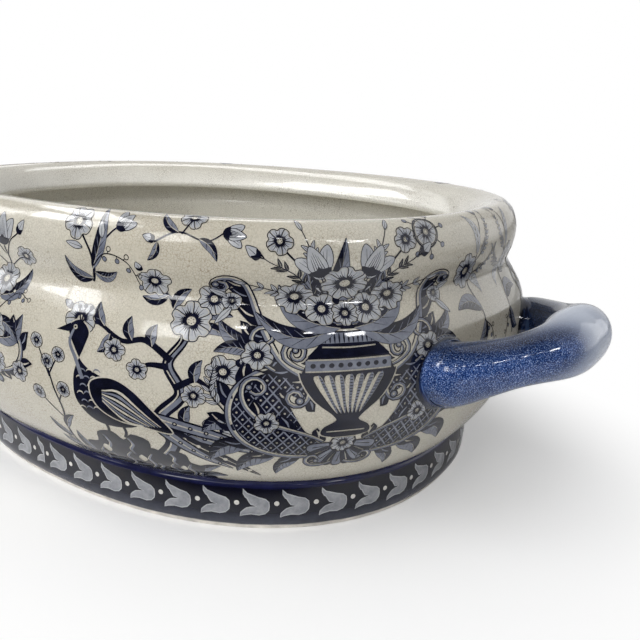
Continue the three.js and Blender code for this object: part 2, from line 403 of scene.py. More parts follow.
def tulip(at, heading, size):
    """A flower seen from the side, three pointed petals out of a dark cup."""
    a = ray(heading) * size
    out = []
    for side in (1, -1):
        shape = loop([0.0, 0.3 + 0.42j * side, 0.7 + 0.588j * side, 0.95 + 0.52j * side,
                      0.75 + 0.168j * side], 4)
        out += inked(WASH, shape * a + at)
        for lift in (0.3, 0.42):
            vein = np.array([0.3 + 0.5j * lift * side, 0.82 + 1.1j * lift * side]) * a + at
            out += ribbon(NAVY, vein, 0.45, 0.12)
    shape = loop([0.0, 0.35 + 0.3j, 0.8 + 0.22j, 1.12, 0.8 - 0.22j, 0.35 - 0.3j], 4)
    out += inked(WASH, shape * a + at)
    for y in (-0.16, -0.08, 0.0, 0.08, 0.16):
        out += ribbon(NAVY, np.array([0.3 + 1j * y, 0.92 - abs(y) + 0.7j * y]) * a + at, 0.5, 0.12)
    cup = loop([-0.08, 0.02 + 0.24j, 0.26 + 0.36j, 0.3 + 0.1j, 0.42, 0.3 - 0.1j, 0.26 - 0.36j,
                0.02 - 0.24j], 3)
    return out + [(NAVY, cup * a + at)]


def bud(at, heading, size):
    """A closed flower out of a dark cup."""
    a = ray(heading) * size
    out = inked(WASH, loop([0.0, 0.4 + 0.32j, 0.8 + 0.2j, 1.05, 0.8 - 0.2j, 0.4 - 0.32j], 4) * a + at)
    out += ribbon(NAVY, np.array([0.3, 0.85]) * a + at, 0.4, 0.15)
    cup = loop([-0.05, 0.1 + 0.3j, 0.45 + 0.28j, 0.28, 0.45 - 0.28j, 0.1 - 0.3j], 3)
    return out + [(NAVY, cup * a + at)]


def berries(path, count, radius=1.1, reach=2.6, start=0.25):
    """A thin stalk with a pale berry on each side in turn."""
    path = np.asarray(path, complex)
    n = normals(path)
    out = ribbon(NAVY, path, 0.75, 0.5)
    for k in range(count):
        i = int((start + (1 - start) * k / max(count - 1, 1)) * (len(path) - 1))
        side = 1 if k % 2 else -1
        d = n[i] * side * reach if k < count - 1 else -1j * n[i] * reach * 0.8
        ahead = -1j * n[i] * reach * 0.4 if k < count - 1 else 0
        at = path[i] + d + ahead
        out += ribbon(NAVY, [path[i], at], 0.5, 0.4)
        out += disc(NAVY, at, radius + 0.42, 12)
        out += disc(CREAM if k % 2 else SLATE, at, radius, 12)
    return out


def hatch(tone, shape, angle, gap, width, trim):
    """Parallel engraved lines inside a closed shape."""
    a = np.exp(-1j * np.radians(angle))
    q = shape * a
    out = []
    for y in np.arange(q.imag.min() + gap / 2, q.imag.max(), gap):
        nxt = np.roll(q, -1)
        hit = (q.imag < y) != (nxt.imag < y)
        p, r = q[hit], nxt[hit]
        x = np.sort(p.real + (y - p.imag) / (r.imag - p.imag) * (r.real - p.real))
        for s, e in zip(x[::2], x[1::2]):
            if e - s > 2 * trim + 0.6:
                stroke = np.array([s + trim + 1j * y, (s + e) / 2 + 1j * y, e - trim + 1j * y]) / a
                out += ribbon(tone, stroke, width * 0.4, width, width * 0.4)
    return out


def inside(points, shape):
    """Which of the points a closed shape winds round."""
    a, b = shape[None], np.roll(shape, -1)[None]
    p = points[:, None]
    rise = (a.imag <= p.imag) & (b.imag > p.imag)
    fall = (a.imag > p.imag) & (b.imag <= p.imag)
    side = (b.real - a.real) * (p.imag - a.imag) - (p.real - a.real) * (b.imag - a.imag)
    return ((rise & (side > 0)).sum(1) - (fall & (side < 0)).sum(1)) != 0


def mirrored(shapes):
    return shapes + [(tone, -np.conj(p)) for tone, p in shapes]


def small_leaf(root, tip, width, dark=False):
    axis = tip - root
    shape = root + axis * loop([0, 0.35 + 0.5j * width / abs(axis), 0.72 + 0.36j * width / abs(axis), 1,
                                0.72 - 0.36j * width / abs(axis), 0.35 - 0.5j * width / abs(axis)], 4)
    if dark:
        rib = np.array([root + axis * 0.15, root + axis * 0.8])
        return [(NAVY, shape)] + ribbon(CREAM, rib, 0.4, 0.2)
    return inked(WASH, shape, 0.38) + ribbon(NAVY, [root, root + axis * 0.8], 0.4, 0.15)


def sprig(path, pairs, size, dark):
    """A stalk with small opposed leaves and one at the tip."""
    first, spread = 0.2, 38
    path = np.asarray(path, complex)
    out = ribbon(NAVY, path, 0.9, 0.5)
    d = np.gradient(path)
    d = d / np.abs(d)
    for k in range(pairs):
        i = int((first + (0.95 - first) * k / pairs) * (len(path) - 1))
        s = size * (1 - 0.35 * k / pairs)
        for side in (1, -1):
            out += small_leaf(path[i], path[i] + d[i] * ray(side * spread) * s, s * 0.34, dark)
    return out + small_leaf(path[-1] - d[-1], path[-1] + d[-1] * size * 0.8, size * 0.3, dark)


def volute_band(path, thick):
    """A rolled stem that ends in a small eye, pale on its lit side."""
    path = np.asarray(path, complex)
    n = normals(path)
    out = ribbon(NAVY, path, thick * 0.55 + 0.9, thick + 1.3, thick + 1.0, thick * 0.6 + 0.8)
    out += ribbon(SLATE, path, thick * 0.55 * 0.8, thick * 0.95, thick * 0.8, thick * 0.4)
    out += ribbon(CREAM, path + n * thick * 0.2, thick * 0.25, thick * 0.42, thick * 0.36, thick * 0.2)
    out += disc(NAVY, path[-1], thick * 0.8) + disc(SLATE, path[-1], thick * 0.5)
    return out + disc(CREAM, path[-1], thick * 0.22)


def acanthus(path, width, lobes, side=1, thick=3.0):
    """A scroll with dark, tongue-shaped lobes along one side, each with a pale vein."""
    path = np.asarray(path, complex)
    m, n = len(path) - 1, normals(path)
    out, veins = [], []
    for k in range(lobes):
        s = (k + 0.3) / (lobes + 0.2)
        i = int(s * m)
        d = -1j * n[i]
        size = width * np.sin(np.pi * min(s * 0.8 + 0.16, 1)) ** 0.7
        lean = side * n[i] * np.exp(-1j * side * 0.55)
        tip = path[i] + lean * size * 1.15 + d * size * 0.4
        span = d * width * 0.42
        near, far = path[i] - span, path[i] + span
        shape = loop([near, near + lean * size * 0.6 - d * size * 0.1, tip - d * size * 0.12, tip,
                      far + lean * size * 0.45 + d * size * 0.25, far, path[i] - side * n[i] * 0.6], 4)
        out.append((NAVY, shape))
        vein = curve([path[i] + lean * size * 0.15, path[i] + lean * size * 0.6 + d * size * 0.08,
                      tip - lean * size * 0.25], 4)
        veins += ribbon(SLATE if k % 2 else CREAM, vein, 0.5, 1.3, 0.4)
    return out + veins + volute_band(path, thick)


def net(shape):
    """Diaper ground: dark, crossed by grey threads, with a dot in each mesh."""
    gap, slant = 5.0, 52
    out = [(NAVY, shape)]
    low, high = shape.real.min() + 1j * shape.imag.min(), shape.real.max() + 1j * shape.imag.max()
    out += hatch(SLATE, shape, slant, gap, 1.1, 0.0) + hatch(SLATE, shape, -slant, gap, 1.1, 0.0)
    step_x, step_y = gap / np.sin(np.radians(slant)), gap / np.cos(np.radians(slant))
    for row in range(int((high - low).imag / step_y * 2) + 2):
        for k in range(int((high - low).real / step_x) + 2):
            at = low.real + (k + 0.5 * (row % 2)) * step_x + 1j * (low.imag + row * step_y / 2)
            if inside(np.array([at]), shape)[0]:
                out += disc(CREAM, at, 0.7, 6)
    return out


def urn_panel():
    """A fluted urn of flowers between scrolls and trellised wings."""
    out, half = [], []
    # dark diapered wings, framed by scrolls
    wing = sweep(9 + 40j, -4, (46, 0.2, 1.5), (58, 1.9, 2.2), (44, 2.2, 3.6))
    ground = np.concatenate([wing, curve([wing[-1], 34 + 84j, 24 + 62j, 9 + 46j], 4)])
    half += leaf(52 + 50j, 76 + 34j, 13, 0.2) + leaf(60 + 66j, 79 + 58j, 10, 0.16)
    half += leaf(38 + 40j, 60 + 24j, 12, 0.2) + leaf(24 + 38j, 36 + 22j, 9, 0.2)
    half += net(ground)
    low_scroll = sweep(9 + 40j, -4, (46, 0.2, 1.5), (58, 1.9, 2.2), (34, 2.2, 4.0), (34, 6, 17))
    half += acanthus(low_scroll, 10, 11, side=-1, thick=3.4)
    half += acanthus(sweep(12 + 52j, 40, (34, -1.6, 0.5), (30, 1.5, 4.0), (30, 7, 15)), 9, 5, thick=2.8)
    # tall scrolls that rise past the waist and roll back at the top
    tall = sweep(20 + 92j, 26, (26, 0.0, 2.6), (44, 0.8, -0.3), (22, -4, -6), (26, -9, -19))
    half += acanthus(tall, 10.5, 10, side=-1, thick=3.6)
    half += acanthus(sweep(40 + 98j, 30, (24, 1.0, 4.0), (26, 6.5, 15)), 8, 4, side=-1, thick=2.4)
    half += leaf(50 + 112j, 70 + 127j, 9, -0.15) + leaf(52 + 108j, 72 + 108j, 8, 0.15)
    half += blossom(49 + 107j, 8, 5, 20) + blossom(44 + 66j, 6.5, 5, 10)
    half += sprig(curve([66 + 72j, 74 + 84j, 72 + 99j]), 5, 7, False)
    half += blossom(63 + 138j, 5.5, 5, 50, False)
    half += small_leaf(63 + 134j, 72 + 124j, 4) + small_leaf(66 + 141j, 76 + 146j, 4)
    out += mirrored(half)
    # shell and pendant under the urn
    for i in range(-4, 5):
        a = ray(-90 + 20 * i)
        petal = loop([0, 0.5 + 0.13j, 0.9 + 0.15j, 1.0, 0.9 - 0.15j, 0.5 - 0.13j], 3) * 21 * a + 50j
        out += inked(NAVY if i % 2 else SLATE, petal, 0.9)
        out += ribbon(CREAM if i % 2 else NAVY, np.array([9, 17.5]) * a + 50j, 0.3, 0.9)
    out += mirrored(volute_band(sweep(4 + 33j, -30, (14, 2, 5), (18, 9, 20)), 2.4))
    out += disc(NAVY, 50j, 8) + blossom(50j, 7, 6)
    # urn
    side = curve([7 + 56j, 13 + 58j, 12 + 62j, 6 + 66j, 7 + 70j, 18 + 80j, 25 + 92j, 26 + 101j, 20 + 108j,
                  16 + 113j, 19 + 119j, 27 + 123j], 6)
    body = np.concatenate([side, -np.conj(side[::-1])])
    out += outline(CREAM, body, 3.4) + [(NAVY, body)] + outline(NAVY, body, 1.8)
    for i in range(-3, 4):
        c = i * 6.4
        top, low = 0.9 * c + 93j, 0.32 * c + 71j
        g = loop([low, (low + top) / 2 + 2.2, top + 2.4, top + 2.0j, top - 2.4, (low + top) / 2 - 2.2], 4)
        out += [(CREAM, g)]
        shade = loop([low + 0.3, (low + top) / 2 + 2.0, top + 2.1, top + 1.5j + 0.2, (low + top) / 2], 4)
        out += [(SLATE, shade)] + hatch(NAVY, shade, 0, 1.8, 0.7, 0.1)
    band = np.concatenate([np.linspace(-24, 24, 7) + 97.5j, np.linspace(24, -24, 7) + 104j])
    out += [(SLATE, band)] + ribbon(CREAM, np.array([-24 + 97.3j, 24 + 97.3j]), 0.9)
    out += ribbon(CREAM, np.array([-23 + 104.2j, 23 + 104.2j]), 0.9)
    for x in range(-20, 21, 5):
        out += disc(NAVY, x + 100.8j, 1.5, 10)
    out += ribbon(CREAM, curve([-15 + 111.5j, 111.0j, 15 + 111.5j], 4), 0.9)
    neck = np.concatenate([np.linspace(-17, 17, 5) + 113.5j, np.linspace(22, -22, 5) + 119.5j])
    out += [(SLATE, neck)] + hatch(NAVY, neck, 90, 2.6, 1.1, 0.2)
    out += ribbon(CREAM, curve([-25 + 121.8j, 121.0j, 25 + 121.8j], 4), 1.2)
    out += ribbon(CREAM, np.array([-11 + 59.3j, 11 + 59.3j]), 1.0)
    ear = sweep(25 + 99j, 20, (12, 1, 4), (22, 9, 12), (12, 14, 24))
    out += mirrored(ribbon(CREAM, ear, 5.2) + volute_band(ear, 2.6))
    # bouquet
    fan = []
    fan += leaf(6 + 122j, 50 + 132j, 12, -0.22) + leaf(4 + 122j, 37 + 152j, 13, -0.2)
    fan += leaf(2 + 124j, 20 + 172j, 13, -0.14)
    fan += sprig(curve([8 + 126j, 26 + 158j, 46 + 172j], 6), 6, 9, True)
    fan += sprig(curve([4 + 126j, 15 + 162j, 25 + 188j], 6), 6, 9, False)
    fan += sprig(curve([6 + 126j, 34 + 144j, 56 + 152j], 6), 5, 9, False)
    fan += ribbon(NAVY, curve([3 + 126j, 20 + 160j, 36 + 178j]), 1.4, 1.0) + blossom(37 + 181j, 7, 5, 8)
    fan += tulip(13 + 160j, 66, 18) + blossom(28 + 142j, 10.5, 6, 12) + bud(48 + 172j, 40, 9)
    out += mirrored(fan)
    out += leaf(128j, 183j, 12, 0.06)
    out += blossom(153j, 13.5, 7, 13) + blossom(-13 + 134j, 9.5, 5, 30) + blossom(13 + 134j, 9.5, 5, -6)
    out += blossom(131j, 7.5, 6, 0)
    return out


def rock(x, y, width, rise, lean):
    """A pierced garden rock, near black with pale runnels."""
    def spot(p, q):
        return x + width * (p + lean * q) + 1j * (y + rise * q)
    rim = [(-0.5, 0.0), (-0.56, 0.22), (-0.42, 0.34), (-0.46, 0.58), (-0.30, 0.66), (-0.26, 0.90),
           (-0.08, 0.98), (0.04, 0.84), (0.14, 1.0), (0.32, 0.92), (0.34, 0.68), (0.50, 0.56), (0.46, 0.32),
           (0.58, 0.2), (0.5, 0.0)]
    out = [(NAVY, loop([spot(p, q) for p, q in rim], 3))]
    for p, low, high, bend in ((-0.34, 0.05, 0.5, 0.06), (-0.16, 0.3, 0.86, -0.05), (0.0, 0.08, 0.55, 0.07),
                               (0.12, 0.5, 0.9, -0.04), (0.26, 0.1, 0.6, 0.05), (0.4, 0.08, 0.36, -0.04)):
        line = curve([spot(p + bend * k, low + (high - low) * t)
                      for t, k in ((0, 0), (0.33, 1), (0.66, 0), (1, 1))], 5)
        out += ribbon(SLATE, line + 0.9, 0.5, 2.4, 0.6) + ribbon(CREAM, line, 0.3, 0.9, 0.3)
    for p, q, r in ((-0.22, 0.5, 0.055), (0.2, 0.42, 0.05)):
        hole, reach = spot(p, q), r * width
        out += [(CREAM, loop([hole - reach, hole + 1.3j * reach, hole + reach, hole - 1.2j * reach], 5))]
    return out


def bird_panel():
    """A long-tailed bird on pierced rocks under a flowering tree."""
    out = []
    # gnarled tree behind everything
    trunk = curve([20 + 24j, 31 + 42j, 25 + 60j, 38 + 76j, 31 + 94j, 40 + 110j, 34 + 126j, 24 + 138j], 8)
    out += ribbon(NAVY, trunk, 11, 9.5, 8, 7, 5.5, 4, 1.4)
    out += ribbon(SLATE, trunk + 1.2, 3.6, 3.2, 2.6, 2.0, 1.4, 0.8, 0.2)
    out += ribbon(CREAM, trunk - 1.4, 1.2, 1.0, 0.8, 0.6, 0.3)
    for arm in ([35 + 80j, 46 + 86j, 54 + 82j, 60 + 88j],
                [33 + 96j, 18 + 106j, 4 + 104j, -12 + 112j, -24 + 110j],
                [39 + 112j, 50 + 118j, 53 + 130j], [26 + 56j, 40 + 58j, 50 + 50j, 56 + 54j],
                [31 + 92j, 20 + 92j, 14 + 88j]):
        out += ribbon(NAVY, curve(arm, 6), 4.2, 2.8, 1.2)
    for root, tip in ((46 + 84j, 50 + 98j), (54 + 83j, 66 + 76j), (10 + 105j, 8 + 119j),
                      (-8 + 111j, -14 + 125j), (-4 + 107j, -12 + 95j), (32 + 126j, 42 + 139j),
                      (48 + 116j, 62 + 112j), (28 + 134j, 12 + 132j), (40 + 57j, 43 + 70j),
                      (46 + 53j, 50 + 40j), (18 + 92j, 8 + 84j), (50 + 122j, 66 + 124j),
                      (-20 + 110j, -32 + 100j), (22 + 103j, 24 + 116j)):
        out += leaf(root, tip, 6.5, 0.15, veins=2)
    for at, radius, petals, turn in (
            (61 + 92j, 9, 5, 0), (55 + 134j, 9, 5, 30), (20 + 143j, 9.5, 5, 50), (-25 + 113j, 10, 5, 10),
            (-1 + 98j, 6.5, 5, 40), (57 + 55j, 8.5, 5, 20), (43 + 120j, 11.5, 6, 0), (45 + 76j, 6.5, 5, 15),
            (13 + 88j, 6, 5, 60)):
        out += blossom(at, radius, petals, turn)
    for at, head, size in ((-33 + 119j, 150, 7), (12 + 151j, 110, 7), (68 + 97j, 20, 7), (65 + 58j, 20, 7)):
        out += bud(at, head, size)
    # rocks and ground
    for at, tip in ((-36 + 6j, -52 + 26j), (-34 + 6j, -56 + 12j), (40 + 8j, 58 + 24j), (38 + 6j, 62 + 12j),
                    (-30 + 10j, -40 + 34j)):
        out += leaf(at, tip, 8, 0.12)
    out += rock(26, 3, 48, 31, -0.1) + rock(-8, 3, 62, 40, 0.05)
    ground = loop([-54 + 2j, -34 + 6j, -8 + 5j, 20 + 7j, 58 + 4j, 44 + 0j, 0 - 2j, -36 - 1j], 6)
    out += [(NAVY, ground)] + hatch(SLATE, ground, 3, 2.2, 0.9, 1.2)
    # long-tailed bird: tail plumes, body, wing, neck and crest
    for bend, length, slope, tone in ((-0.2, 74, -30, SLATE), (-0.5, 82, -42, NAVY), (-0.9, 70, -20, SLATE),
                                      (0.2, 64, -52, SLATE)):
        feather = sweep(16 + 62j, slope, (length, 0.5, bend))
        out += ribbon(NAVY, feather, 6, 9, 9, 6, 1.0) + ribbon(tone, feather, 4, 6.6, 6.4, 3.8, 0.4)
        out += ribbon(CREAM, feather, 1.0, 0.9, 0.4)
        for k in range(3, len(feather) - 3, 3):
            out += disc(NAVY if tone == SLATE else CREAM, feather[k], 1.5, 8)
            out += disc(CREAM, feather[k], 0.7, 6)
    body = loop([20 + 60j, 10 + 74j, -8 + 79j, -21 + 85j, -28 + 96j, -32 + 107j, -25 + 112j, -18 + 106j,
                 -21 + 96j, -29 + 78j, -28 + 60j, -16 + 48j, 6 + 49j], 6)
    out += outline(CREAM, body, 1.8) + [(NAVY, body)]
    for row in range(6):
        for k in range(5 - row // 3):
            at = -25 + 5.0 * k + 2.4 * (row % 2) + (56 + 4.8 * row + 0.6 * k) * 1j
            out += ribbon(SLATE if (row + k) % 2 else CREAM,
                          at + 2.4 * ray(np.linspace(20, 160, 6)), 0.4, 1.1, 0.4)
    wing = loop([-18 + 75j, -3 + 80j, 14 + 71j, 32 + 50j, 14 + 51j, -3 + 53j, -15 + 61j], 6)
    out += [(NAVY, wing)] + outline(CREAM, wing, 1.0)
    for k in range(7):
        quill = curve([-10 + 71j - 1.0j * k, 3 + (71 - 2.9 * k) * 1j, 25 - k * 1.8 + (53 - 0.2 * k) * 1j], 5)
        out += ribbon(SLATE if k % 2 else CREAM, quill, 0.7, 1.7, 0.7)
    out += ribbon(SLATE, curve([-23 + 76j, -27 + 88j, -31 + 98j, -28 + 107j], 5), 2.8, 2.4, 1.2)
    out += disc(CREAM, -27.5 + 107.5j, 1.5, 10) + disc(NAVY, -27.5 + 107.5j, 0.7, 8)
    out += [(NAVY, np.array([-31 + 109.5j, -41 + 104j, -32 + 104j]))]
    for a in (70, 92, 114):
        tip = -23 + 110j + 11 * ray(a)
        out += ribbon(NAVY, [-24 + 109j, tip], 1.1, 0.7) + disc(NAVY, tip, 1.6, 8)
    for x in (-12, 0):
        out += ribbon(NAVY, curve([x + 50j, x + 1 + 44j, x - 1 + 39j], 4), 2.2, 1.8)
    # reeds and small flowers on the left
    out += ribbon(NAVY, curve([-42 + 4j, -47 + 30j, -43 + 54j, -49 + 78j], 6), 1.8, 1.1)
    for at, root in ((-49 + 82j, -49 + 78j), (-59 + 60j, -45 + 44j), (-57 + 94j, -48 + 72j),
                     (-38 + 66j, -44 + 56j), (-40 + 88j, -48 + 74j)):
        out += ribbon(NAVY, [root, at], 1.0, 0.8) + blossom(at, 4.6, 5, 10, False)
    for root, tip in ((-46 + 26j, -60 + 40j), (-47 + 34j, -36 + 48j), (-44 + 16j, -58 + 24j)):
        out += leaf(root, tip, 5.4, 0.12, veins=2)
    return out


def standard_panel():
    """Upright spray for the middle of the front."""
    out = []
    stem = curve([0 + 66j, 2 + 90j, -2 + 116j, 1 + 140j, 0 + 160j], 8)
    half = []
    half += acanthus(sweep(2 + 70j, 8, (22, 0.6, 3.0), (26, 3.0, 5.0), (18, 9, 18)), 9, 6, side=-1, thick=2.8)
    half += leaf(0 + 92j, 26 + 112j, 12, -0.2) + leaf(0 + 120j, 22 + 142j, 11, -0.2)
    half += leaf(0 + 104j, 22 + 92j, 9, 0.2)
    half += berries(curve([1 + 110j, 16 + 124j, 26 + 122j]), 6, 1.1)
    half += blossom(20 + 154j, 8, 5, 10) + blossom(22 + 74j, 6.5, 5, 40)
    half += ribbon(NAVY, curve([0 + 140j, 12 + 150j, 18 + 152j]), 1.0)
    half += bud(16 + 172j, 60, 9) + ribbon(NAVY, curve([1 + 152j, 8 + 166j, 16 + 172j]), 0.9)
    out += ribbon(NAVY, stem, 2.4, 1.8, 1.2) + mirrored(half)
    out += blossom(132j, 11, 6, 0) + blossom(100j, 9.5, 5, 18) + tulip(162j, 90, 19) + blossom(76j, 8, 6, 5)
    out += disc(NAVY, 64j, 3.4) + disc(SLATE, 64j, 2.1)
    return out


def spray():
    """Loose rim spray, about 60 mm across and 44 mm high."""
    out = []
    out += ribbon(NAVY, curve([-2 - 22j, 0 - 6j, -8 + 8j, -10 + 14j]), 1.5, 1.0)
    out += ribbon(NAVY, curve([-2 - 22j, 4 - 4j, 14 + 8j, 20 + 12j]), 1.3, 0.9)
    out += leaf(-1 - 14j, 6 + 24j, 7.5, -0.12)
    out += leaf(-2 - 20j, -20 - 8j, 7, 0.24) + leaf(0 - 16j, 16 - 14j, 6, -0.2)
    out += blossom(-10 + 12j, 9.5, 5, 12)
    out += berries(curve([0 - 12j, 10 - 4j, 24 - 8j, 30 - 20j]), 7, 1.2)
    out += tulip(18 + 10j, 48, 11)
    out += small_leaf(-6 - 2j, -18 + 0j, 4) + small_leaf(8 + 4j, 6 + 14j, 4)
    return out


def twig():
    """A short twig that lies along the rim."""
    out = ribbon(NAVY, curve([-24 - 4j, -10 + 2j, 6 - 2j, 18 + 4j]), 1.1, 0.7)
    out += tulip(16 + 3j, -8, 11) + blossom(-2 + 12j, 7.5, 5, 30)
    out += ribbon(NAVY, curve([-8 + 1j, -4 + 7j, -3 + 10j]), 0.9)
    out += leaf(-10 + 2j, -20 + 14j, 5, 0.15, veins=2) + leaf(2 - 1j, 12 - 12j, 5, 0.15, veins=2)
    out += leaf(-22 - 4j, -28 - 14j, 4, 0.15, veins=2) + bud(-24 - 3j, 165, 7)
    return out


def rosette():
    """A round flower ringed with berries."""
    out = []
    for i in range(8):
        a = np.exp(1j * np.pi * i / 4 + 0.2j)
        out += berries(np.array([8 * a, 11 * a, 14 * a]), 1, 1.3, 0.5, 1.0)
    out += disc(NAVY, 0, 9.6, 40) + disc(CREAM, 0, 8.6, 40)
    out += blossom(0, 8.0, 8, 0, False)
    return out


def end_spray():
    """Spray over the handle, its head on the rim and its stalk down the shoulder."""
    out = ribbon(NAVY, curve([2 - 48j, 4 - 26j, -2 - 6j, 1 + 16j, 8 + 36j]), 1.2, 1.0, 0.7)
    out += leaf(4 - 24j, -22 - 20j, 10, -0.2) + leaf(4 - 30j, -10 - 46j, 8, 0.2)
    out += leaf(-1 - 2j, 12 - 14j, 6, 0.2, False) + leaf(0 + 12j, -9 + 38j, 6, -0.16, False)
    out += blossom(-9 + 3j, 10.5, 6, 6)
    out += sprig(curve([0 + 8j, 12 + 20j, 16 + 38j]), 7, 5, False)
    out += sprig(curve([1 + 0j, 16 + 4j, 26 + 14j]), 5, 5, False)
    out += berries(curve([3 - 30j, 12 - 38j, 16 - 54j]), 6, 1.0) + bud(8 + 37j, 70, 7)
    return out


skin = 0.15                              # height of the print over the glaze
drawn_levels = [-9, 72, 140, 169, 230]   # levels on the flat drawing of a tall panel
laid_levels = [-9, 72, 134, 154, 213]    # and where these lie on the bowl
grid_u, grid_v = 5.0, 2.5                # no ink triangle spans more of the curved wall
shortest_edge, weld = 0.04, 1e-4
probe = 0.4                              # step over which the wall's slope is taken


def wrap_on(line, run, girth_share=1.0, lift=skin):
    """Makes the wrap that lays a drawing on a lathed line, u mm round it and v mm up it."""
    def wrap(u, v):
        def raw(a, b):
            return on_oval(a / girth_share, np.interp(b, run, line[:, 0]), np.interp(b, run, line[:, 1]))
        outward = np.cross(raw(u + probe, v) - raw(u - probe, v), raw(u, v + probe) - raw(u, v - probe))
        outward /= np.linalg.norm(outward, axis=-1, keepdims=True)
        return raw(u, v) + outward * lift, outward
    return wrap


def eased(shapes):
    """The tall panels gather at the shoulder, where the paper was pressed into the waist."""
    return [(tone, p.real + 1j * np.interp(p.imag, drawn_levels, laid_levels)) for tone, p in shapes]


def printed(name, shapes, at, tones, wrap=wrap_on(side_line, side_run), all_round=False):
    """Wraps a drawing on the piece, its last shape on top, and mirrors it to four places."""
    shapes = [(tone, np.round(p[np.abs(p - np.roll(p, 1)) > shortest_edge] + at, 3)) for tone, p in shapes]
    shapes = [(tone, p) for tone, p in shapes if len(p) > 2]
    outline_points = np.concatenate([p for _, p in shapes])
    ends = np.cumsum([len(p) for _, p in shapes])
    edges = [(i - 1 if i > start else end - 1, i)
             for start, end in zip(np.concatenate([[0], ends]), ends) for i in range(start, end)]
    low = outline_points.real.min() - 1 + (outline_points.imag.min() - 1) * 1j
    high = outline_points.real.max() + 1 + (outline_points.imag.max() + 1) * 1j
    corners = list(outline_points)
    for x in np.arange(np.ceil(low.real / grid_u), high.real / grid_u) * grid_u:
        edges.append((len(corners), len(corners) + 1))
        corners += [x + low.imag * 1j, x + high.imag * 1j]
    for y in np.arange(np.ceil(low.imag / grid_v), high.imag / grid_v) * grid_v:
        edges.append((len(corners), len(corners) + 1))
        corners += [low.real + y * 1j, high.real + y * 1j]
    flat_corners = [Vector((c.real, c.imag)) for c in corners]
    points, _, faces = delaunay_2d_cdt(flat_corners, edges, [], 0, weld, False)[:3]
    flat = np.array([p.x + p.y * 1j for p in points])
    triangles = np.array(faces)
    middle = flat[triangles].mean(1)
    slot_of = {tone: i for i, tone in enumerate(tones)}
    slots = np.full(len(triangles), -1)
    for tone, shape in shapes:
        near = np.nonzero((middle.real > shape.real.min()) & (middle.real < shape.real.max())
                          & (middle.imag > shape.imag.min()) & (middle.imag < shape.imag.max()))[0]
        slots[near[inside(middle[near], shape)]] = slot_of.get(tone, -1)
    triangles, slots = triangles[slots >= 0], slots[slots >= 0]
    used, triangles = np.unique(triangles, return_inverse=True)
    triangles = triangles.reshape(-1, 3)
    body, outward = wrap(flat[used].real, flat[used].imag)
    for number, (sx, sy) in enumerate(((1, 1), (-1, 1), (-1, -1), (1, -1))):
        # A strip that goes all round is laid once, and a panel on the middle line twice.
        if number and (all_round or abs(at.real) < 1 and number != 2):
            continue
        turned = triangles if sx * sy > 0 else triangles[:, ::-1]
        piece = smooth_piece(f"{name}_{number + 1}", body * [sx, sy, 1], turned)
        for finish in tones.values():
            piece.data.materials.append(finish)
        piece.data.polygons.foreach_set("material_index", slots)
        piece.data.normals_split_custom_set_from_vertices((outward * [sx, sy, 1]).tolist())
        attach(piece, "root")


def ink(name, pale, mid, deep):
    """Underglaze ink: tone clouded as the transfer took, same glassy skin as the bowl."""
    made, tree, shader, coord = material(name, {"Roughness": 0.06, "IOR": 1.5})
    cloud = node(tree, "TexNoise", {"Scale": cells_of(8.333), "Detail": 5, "Roughness": 0.7},
                 {"Vector": coord})
    tone = node(tree, "ValToRGB", (), {"Fac": cloud.outputs["Fac"]}, {0.3: deep, 0.5: mid, 0.72: pale})
    tree.links.new(tone.outputs[0], shader.inputs["Base Color"])
    tree.links.new(dip_waves(tree, coord).outputs[0], shader.inputs["Normal"])
    return made


inks = {NAVY: ink("underglaze_blue_black_ink", "#171a30", "#0b0d1e", "#060711"),
        SLATE: ink("underglaze_half_tone_ink", "#7f838d", "#6d717d", "#5a5e6c"),
        WASH: ink("underglaze_pale_wash_ink", "#aeafae", "#a1a3a7", "#91949b")}
# The urn panel laps over the bird's tail feathers, so it lies one skin higher.
over_print = wrap_on(side_line, side_run, lift=2 * skin)
printed("print_urn", eased(urn_panel()), 224 + 0j, inks, over_print)
printed("print_bird", eased(bird_panel()), 96 + 4j, inks)
printed("print_standard", eased(standard_panel()), 0 + 0j, inks)
printed("print_spray", spray(), 76 + 157j, inks)
printed("print_twig", twig(), 141 + 166j, inks)
printed("print_rosette", rosette(), 277 + 169j, inks)
printed("print_end", end_spray(), 326 + 139j, inks)

# Foot ring: a separate collar of the same clay luted under the belly with slip. Its face is
# banded in near-black blue, thick at the shoulder, and its lowest edge is wiped bare.
shoulder_round = 2.9
shoulder_level = foot_joint[1] - shoulder_round
shoulder = foot_joint[0] + shoulder_round
base = shoulder - 3.2
inner_wall = base - 10.5
clearance = 0.3
foot_face = bezier([shoulder - 0.5, 5], [shoulder + 0.3, 11.5], [shoulder + 0.47, 19.8],
                   [shoulder, shoulder_level], 16)
ring_profile = chain(
    [[inner_wall, 1.5], [inner_wall + 0.45, 0.45], [inner_wall + 1.5, 0]],
    [[inner_wall + 1.5, 0], [base - 1.5, 0]],
    [[base - 1.5, 0], [base - 0.35, 0.35], [base, 0.9], [base + 1.0, 2.6], [base + 2.2, 4.4]],
    foot_face[1:], arc([shoulder - shoulder_round, shoulder_level], shoulder_round, 0, 84, 9),
    [foot_joint + [0.3, 0], foot_joint + [0.2, -0.4]])
dish_line = dish(foot_joint, floor_under, 10) - [0, clearance]
dish_line = dish_line[dish_line[:, 0] > inner_wall - 1][::-1]
ring_profile = np.concatenate([ring_profile, dish_line, [[inner_wall - 2, 21]]])
foot = lathe("foot_ring_body", ring_profile, closed=True)
